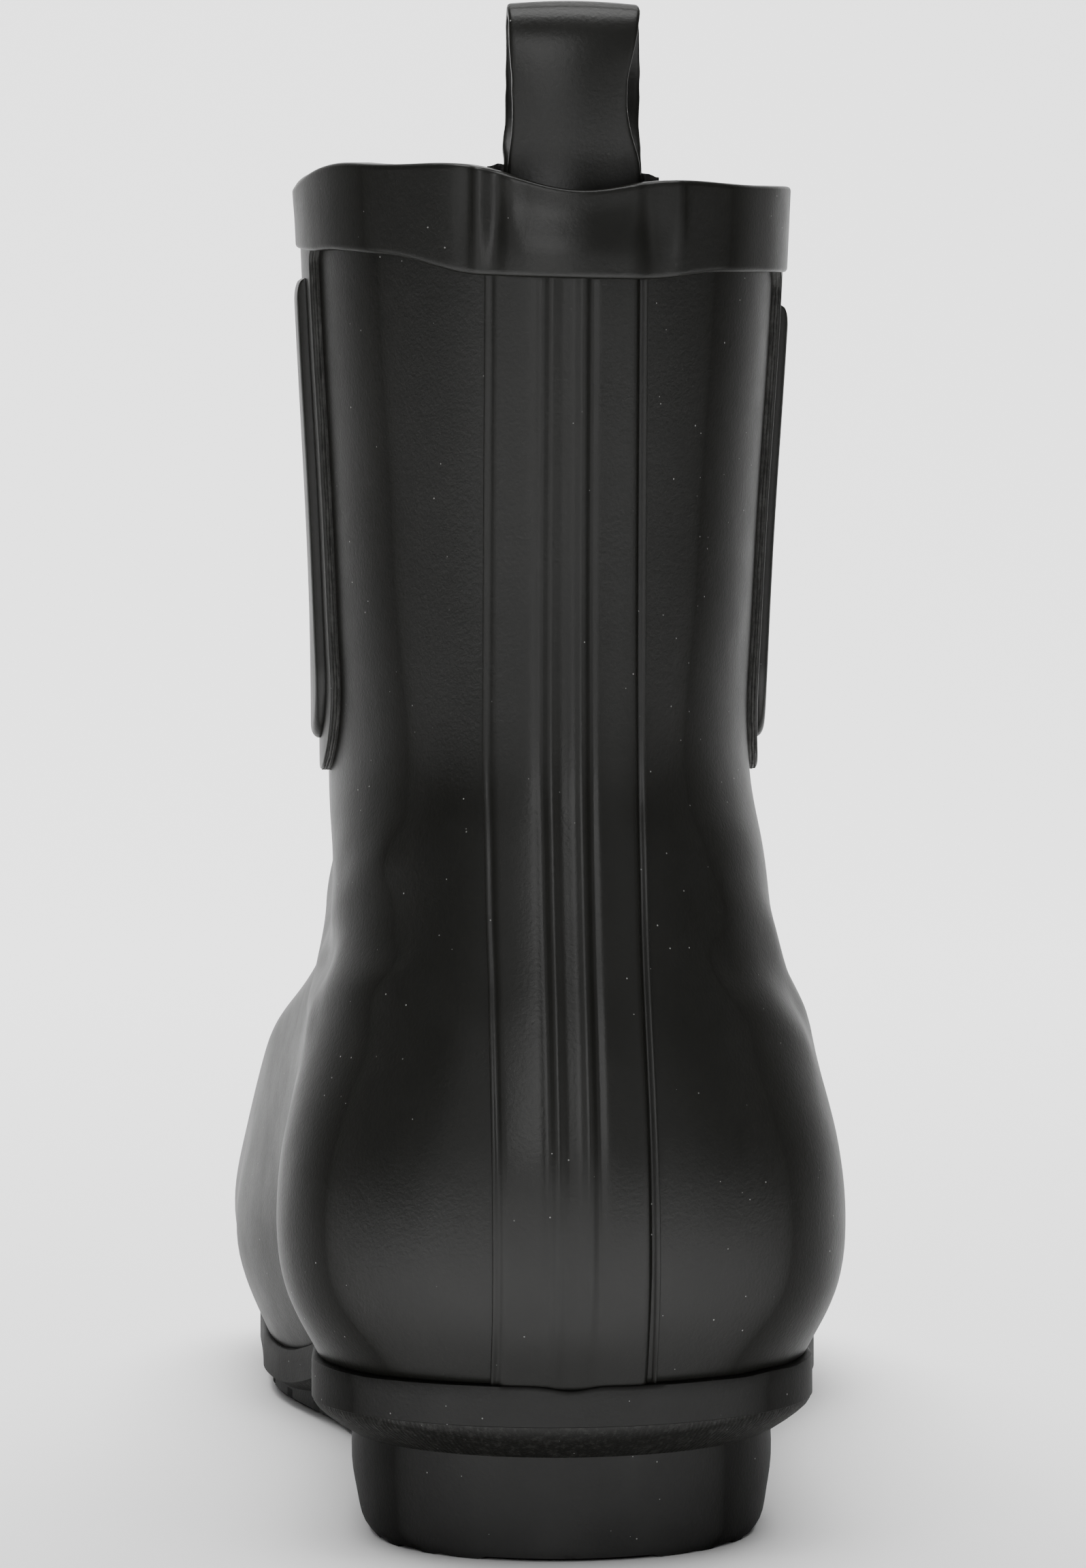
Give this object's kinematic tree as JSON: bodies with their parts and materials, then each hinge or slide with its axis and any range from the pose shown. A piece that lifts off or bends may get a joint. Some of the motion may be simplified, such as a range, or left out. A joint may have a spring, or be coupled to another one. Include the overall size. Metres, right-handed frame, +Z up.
{
  "type": "rubber ankle boot",
  "caption": "Black pull-on rubber ankle boot for the right foot, with stretch side panels, a back pull loop and a lugged heeled sole.",
  "frame": {"origin": "on the floor, under the middle of the bounding box", "axes": "+Y from heel to toe, +X towards the outer side of the foot, +Z up"},
  "size_m": [0.0992, 0.2858, 0.2081],
  "materials": {
    "upper_rubber": "matte satin black rubber",
    "trim_rubber": "matte satin black rubber",
    "sole_rubber": "matte black moulded rubber",
    "insole_lining": "dark grey knitted lining"
  },
  "bodies": {
    "root": {"upper": "upper_rubber", "collar_band": "trim_rubber", "back_stay": "trim_rubber", "gusset_medial": "trim_rubber", "gusset_lateral": "trim_rubber", "gusset_panel_medial": "trim_rubber", "gusset_panel_lateral": "trim_rubber", "pull_loop": "trim_rubber", "loop_anchor": "trim_rubber", "foxing": "sole_rubber", "outsole": "sole_rubber", "insole": "insole_lining"}
  },
  "joints": []
}
